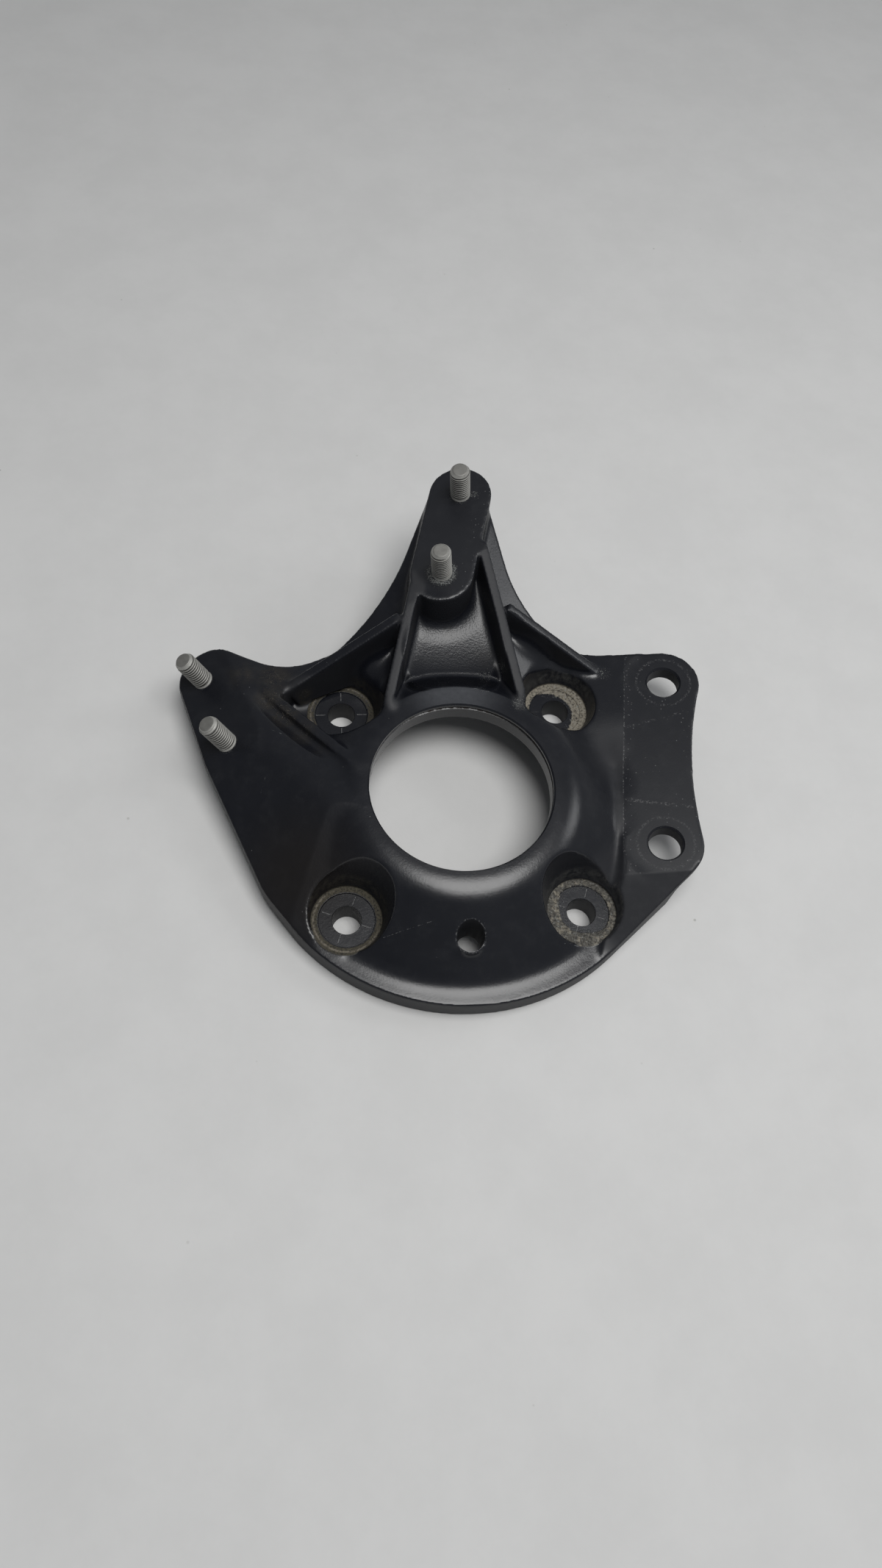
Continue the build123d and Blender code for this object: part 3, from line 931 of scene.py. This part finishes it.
    def set_colour(self):
        """Black paint, then film, stains, a painted warm sheen on the left flank, dust, dirt and corrosion
        over it.
        """
        base = self.mix(self.broad, BLACK_DEEP, BLACK_FADED)
        film = self.times(self.ramp(self.noise(7, 4.0, 0.65), 0.45, 0.75), self.ramp(self.up, 0.3, 0.8))
        base = self.mix(self.times(film, 0.25), base, FILM)
        base = self.mix(self.times(self.stain, 0.6), base, STAIN)
        # painted sheen: the left flank beside the front left pocket is tinted warm brown, as a reflection
        # there would make it
        warm_sheen = self.near(-74, -38, 25, 5, 45)
        base = self.mix(self.times(warm_sheen, 0.6), base, WARM_SHEEN_BLACK)
        collar_dust = self.all_of(
            self.near(0, 54, 41, 6, 30), self.ramp(self.up, 0.85, 0.97), self.ramp(self.z, 39.0, 40.3)
        )
        collar_dust = self.times(collar_dust, self.scaled(self.crust, 0.7, 0.45))
        base = self.mix(collar_dust, base, COLLAR_DUST)
        self.haze = self.times(self.wall_dust, self.ramp(self.crust, 0.35, 0.65))
        haze_colour = self.mix(self.right_side, HAZE_LEFT, HAZE_RIGHT)
        base = self.mix(self.times(self.haze, 0.7), base, haze_colour)
        dirt_colour = self.mix(self.crumbs, DIRT_DARK, DIRT_PALE)
        base = self.mix(self.times(self.dirt, 0.7), base, dirt_colour)
        base = self.mix(self.ring, base, self.ring_colour())
        base = self.mix(self.times(self.chalk, 0.30), base, CHALK)
        base = self.mix(self.times(self.fine_lines, 0.50), base, CHALK)
        base = self.mix(self.times(self.specked, 0.6), base, SPECK)
        powder_colour = self.mix(self.fine, POWDER_DARK, POWDER_PALE)
        base = self.mix(self.any_of(self.powder, self.white), base, powder_colour)
        bare_lines = self.times(self.any_of(self.spokes, self.scratch), 0.45)
        base = self.mix(bare_lines, base, BARE_METAL)
        base = self.mix(self.times(self.rust_line, 0.7), base, RUST)
        self.link(base, self.bsdf.inputs["Base Color"])

    def ring_colour(self):
        """Olive brown with a thin pale line in the left pockets, beige and patchy in the right ones."""
        pale_line = self.all_of(
            self.between(self.r, 14.7, 15.5, 0.3),
            self.ramp(self.plus(self.ay, self.ax), -14, 2),
            self.ramp(self.crust, 0.36, 0.52),
        )
        dark = self.mix(self.crumbs, OLIVE_DARK, OLIVE_PALE)
        dark = self.mix(self.times(pale_line, 0.8), dark, OLIVE_LINE)
        light = self.mix(self.crumbs, BEIGE_DARK, BEIGE_PALE)
        patches = self.times(self.front_right, self.ramp(self.noise(4.5, 3.0, 0.7), 0.38, 0.52))
        light = self.mix(self.times(patches, 0.75), light, BEIGE_PATCH)
        return self.mix(self.right_side, dark, light)

    def set_roughness(self):
        """Satin paint: matter on the pads, the ribs' crowns and the walls, glossy in the bore."""
        rough = self.scaled(self.broad, SATIN_SPREAD, SATIN_ROUGH)
        rough = self.blend(self.pads, rough, PAD_ROUGH)
        rough = self.blend(self.web, rough, WEB_ROUGH)
        beside_pads = self.minus(1.0, self.pads)
        corner = self.all_of(self.near(88, -54, 21, 22, 42), self.ramp(self.z, 14.5, 16), beside_pads)
        rough = self.blend(corner, rough, RIGHT_CORNER_ROUGH)
        foot = self.times(self.line((79, 0), (77, -45), 7.0), self.between(self.y, -40, 2, 6))
        valley = self.times(foot, beside_pads)
        rough = self.blend(valley, rough, VALLEY_ROUGH)
        right_blend = self.times(self.near(77, 24, 25, 0, 26), beside_pads)
        rough = self.blend(right_blend, rough, RIGHT_BLEND_ROUGH)
        crowns = self.any_of(*[self.line(*rib, 7.0) for rib in MAIN_RIBS])
        crowns = self.all_of(crowns, self.ramp(self.y, 36, 44), self.ramp(self.up, 0.45, 0.7))
        rough = self.blend(self.times(crowns, self.minus(1.0, self.top_face)), rough, RIB_ROUGH)
        sides = self.ramp(self.up, 0.35, 0.15)
        rough = self.blend(sides, rough, SIDE_ROUGH)
        rough = self.blend(self.near(-71, 58, 25, 8, 14), rough, LEFT_CORNER_ROUGH)
        near_bore = self.ramp(self.radius(0, 0), BORE_R + 2.5, BORE_R + 1.5)
        bore_wall = self.all_of(near_bore, self.ramp(self.z, 27, 29), sides)
        rough = self.blend(bore_wall, rough, BORE_ROUGH)
        dull = self.any_of(
            self.powder,
            self.white,
            self.ring,
            self.dirt,
            self.chalk,
            self.specked,
            self.rust_line,
            self.times(self.haze, 0.6),
        )
        self.link(self.blend(dull, rough, DUST_ROUGH), self.bsdf.inputs["Roughness"])
        self.bsdf.inputs["Specular IOR Level"].default_value = 0.5

    def set_bump(self):
        """Orange peel of the cast skin, coarser on the tower's web, which is hollowed below the top pad."""
        low_web = self.times(self.near(0, 72, 40, 22, 28), self.ramp(self.up, 0.99, 0.95))
        skin = self.plus(self.times(self.peel, PEEL_DEPTH), self.times(self.grain, GRAIN_DEPTH))
        skin = self.plus(skin, self.times(self.times(self.web, self.grain), WEB_GRAIN_DEPTH))
        dip = self.math("MAXIMUM", self.minus(DISH_Y, self.y), 0.0)
        dip = self.math("MINIMUM", dip, DISH_REACH)
        dish = self.times(self.times(dip, dip), DISH_RATE)
        skin = self.math("MULTIPLY_ADD", dish, low_web, skin)
        climb = self.math("MAXIMUM", self.minus(CLIMB_REACH, self.radius(*TOP_STUDS[0])), 0.0)
        climb = self.times(self.times(climb, climb), CLIMB_RATE)
        between_ribs = self.all_of(
            self.ramp(self.z, 60, 57), self.ramp(self.z, 30, 33), self.ramp(self.up, 0.4, 0.6)
        )
        skin = self.math("MULTIPLY_ADD", climb, between_ribs, skin)
        cast = self.blend(self.pads, 1.0, PAD_RELIEF)
        normal = self.bump(self.times(skin, cast), 1.0)
        normal = self.bump(self.fine, FINE_DEPTH, 1.0, normal)
        crusty = self.any_of(self.powder, self.white, self.ring, self.dirt)
        normal = self.bump(self.times(self.crumbs, crusty), CRUST_DEPTH, 1.0, normal)
        normal = self.bump(self.times(self.spokes, -1.0), SPOKE_DEPTH, 1.0, normal)
        self.link(normal, self.bsdf.inputs["Normal"])


def zinc_material():
    """Dull zinc plating with a matt bloom, and painted shade in the thread roots and on the stud's end."""
    m = Nodes("zinc")
    broad = m.noise(2.2, 3.0, 0.6)
    fine = m.noise(0.5, 2.0, 0.6)
    color = m.mix(broad, ZINC_DARK, ZINC_PALE)
    # painted shade: darkens the zinc in the thread roots and on the end face
    root_shade_node = m.tree.nodes.new("ShaderNodeAttribute")
    root_shade_node.attribute_name = "root_shade"
    color = m.mix(root_shade_node.outputs["Fac"], color, ZINC_ROOT_SHADE)
    m.link(color, m.bsdf.inputs["Base Color"])
    m.bsdf.inputs["Metallic"].default_value = 0.45
    m.link(m.scaled(broad, 0.2, 0.45), m.bsdf.inputs["Roughness"])
    m.link(m.bump(fine, 0.05), m.bsdf.inputs["Normal"])
    return m.material


def wear(obj, material):
    """Gives an object one material."""
    obj.data.materials.clear()
    obj.data.materials.append(material)


wear(body, Paint().material)
zinc = zinc_material()
for obj in studs:
    wear(obj, zinc)


def stage():
    """Pale grey floor, scuffed a little, a hair below the part so that no two faces share a plane."""
    half = FLOOR_HALF
    low = -FLOOR_GAP * MM
    corners = [(-half, -half, low), (half, -half, low), (half, half, low), (-half, half, low)]
    floor = new_object("floor", corners, [(0, 1, 2, 3)])
    m = Nodes("floor_grey")
    scuff = m.ramp(m.noise(55, 5.0, 0.7), 0.3, 0.7)
    marks = m.all_of(m.specks(26, 0.035), m.ramp(m.noise(120, 2.0), 0.45, 0.6))
    color = m.mix(scuff, FLOOR_DARK, FLOOR_PALE)
    m.link(m.mix(m.times(marks, 0.5), color, FLOOR_MARK), m.bsdf.inputs["Base Color"])
    m.bsdf.inputs["Roughness"].default_value = 0.7
    m.bsdf.inputs["Specular IOR Level"].default_value = 0.2
    floor.data.materials.append(m.material)


def lamp(name, direction, distance, size, watts, color):
    """Round soft lamp that looks at the origin from the given direction, in metres."""
    data = bpy.data.lights.new(name, "AREA")
    data.shape = "DISK"
    data.size = size
    data.energy = watts
    data.color = color
    obj = bpy.data.objects.new(name, data)
    bpy.context.scene.collection.objects.link(obj)
    obj.location = Vector(direction).normalized() * distance
    obj.rotation_euler = (-obj.location).to_track_quat("-Z", "Y").to_euler()


def sky():
    """Dim plain surroundings, a little lighter to the right."""
    world = bpy.data.worlds.new("world")
    bpy.context.scene.world = world
    world.use_nodes = True
    nodes = world.node_tree.nodes
    links = world.node_tree.links
    split = nodes.new("ShaderNodeSeparateXYZ")
    links.new(nodes.new("ShaderNodeTexCoord").outputs["Generated"], split.inputs[0])
    across = nodes.new("ShaderNodeMapRange")
    across.inputs["From Min"].default_value = -SKY_SPAN
    across.inputs["From Max"].default_value = SKY_SPAN
    across.inputs["To Min"].default_value = SKY_LEFT
    across.inputs["To Max"].default_value = SKY_RIGHT
    links.new(split.outputs[0], across.inputs["Value"])
    background = nodes["Background"]
    background.inputs["Color"].default_value = (*SKY, 1.0)
    links.new(across.outputs["Result"], background.inputs["Strength"])


def set_camera():
    """Camera at the photo's viewing angle."""
    data = bpy.data.cameras.new("camera")
    data.sensor_fit = "VERTICAL"
    data.sensor_height = FILM_HEIGHT
    data.lens = CAMERA_LENS
    camera = bpy.data.objects.new("camera", data)
    bpy.context.scene.collection.objects.link(camera)
    place = Vector(CAMERA_PLACE)
    look = (Vector(CAMERA_AIM) - place).to_track_quat("-Z", "Y").to_matrix().to_4x4()
    roll = Matrix.Rotation(math.radians(CAMERA_ROLL), 4, "Z")
    camera.matrix_world = Matrix.Translation(place * MM) @ look @ roll
    bpy.context.scene.camera = camera


stage()
lamp("key", (0.14, -0.11, 0.98), distance=1.4, size=0.86, watts=15.0, color=(1.0, 0.995, 0.985))
lamp("side", (0.76, 0.19, 0.62), distance=1.5, size=0.5, watts=2.2, color=(0.98, 0.99, 1.0))
sky()
set_camera()
bpy.context.scene.view_settings.view_transform = "Standard"
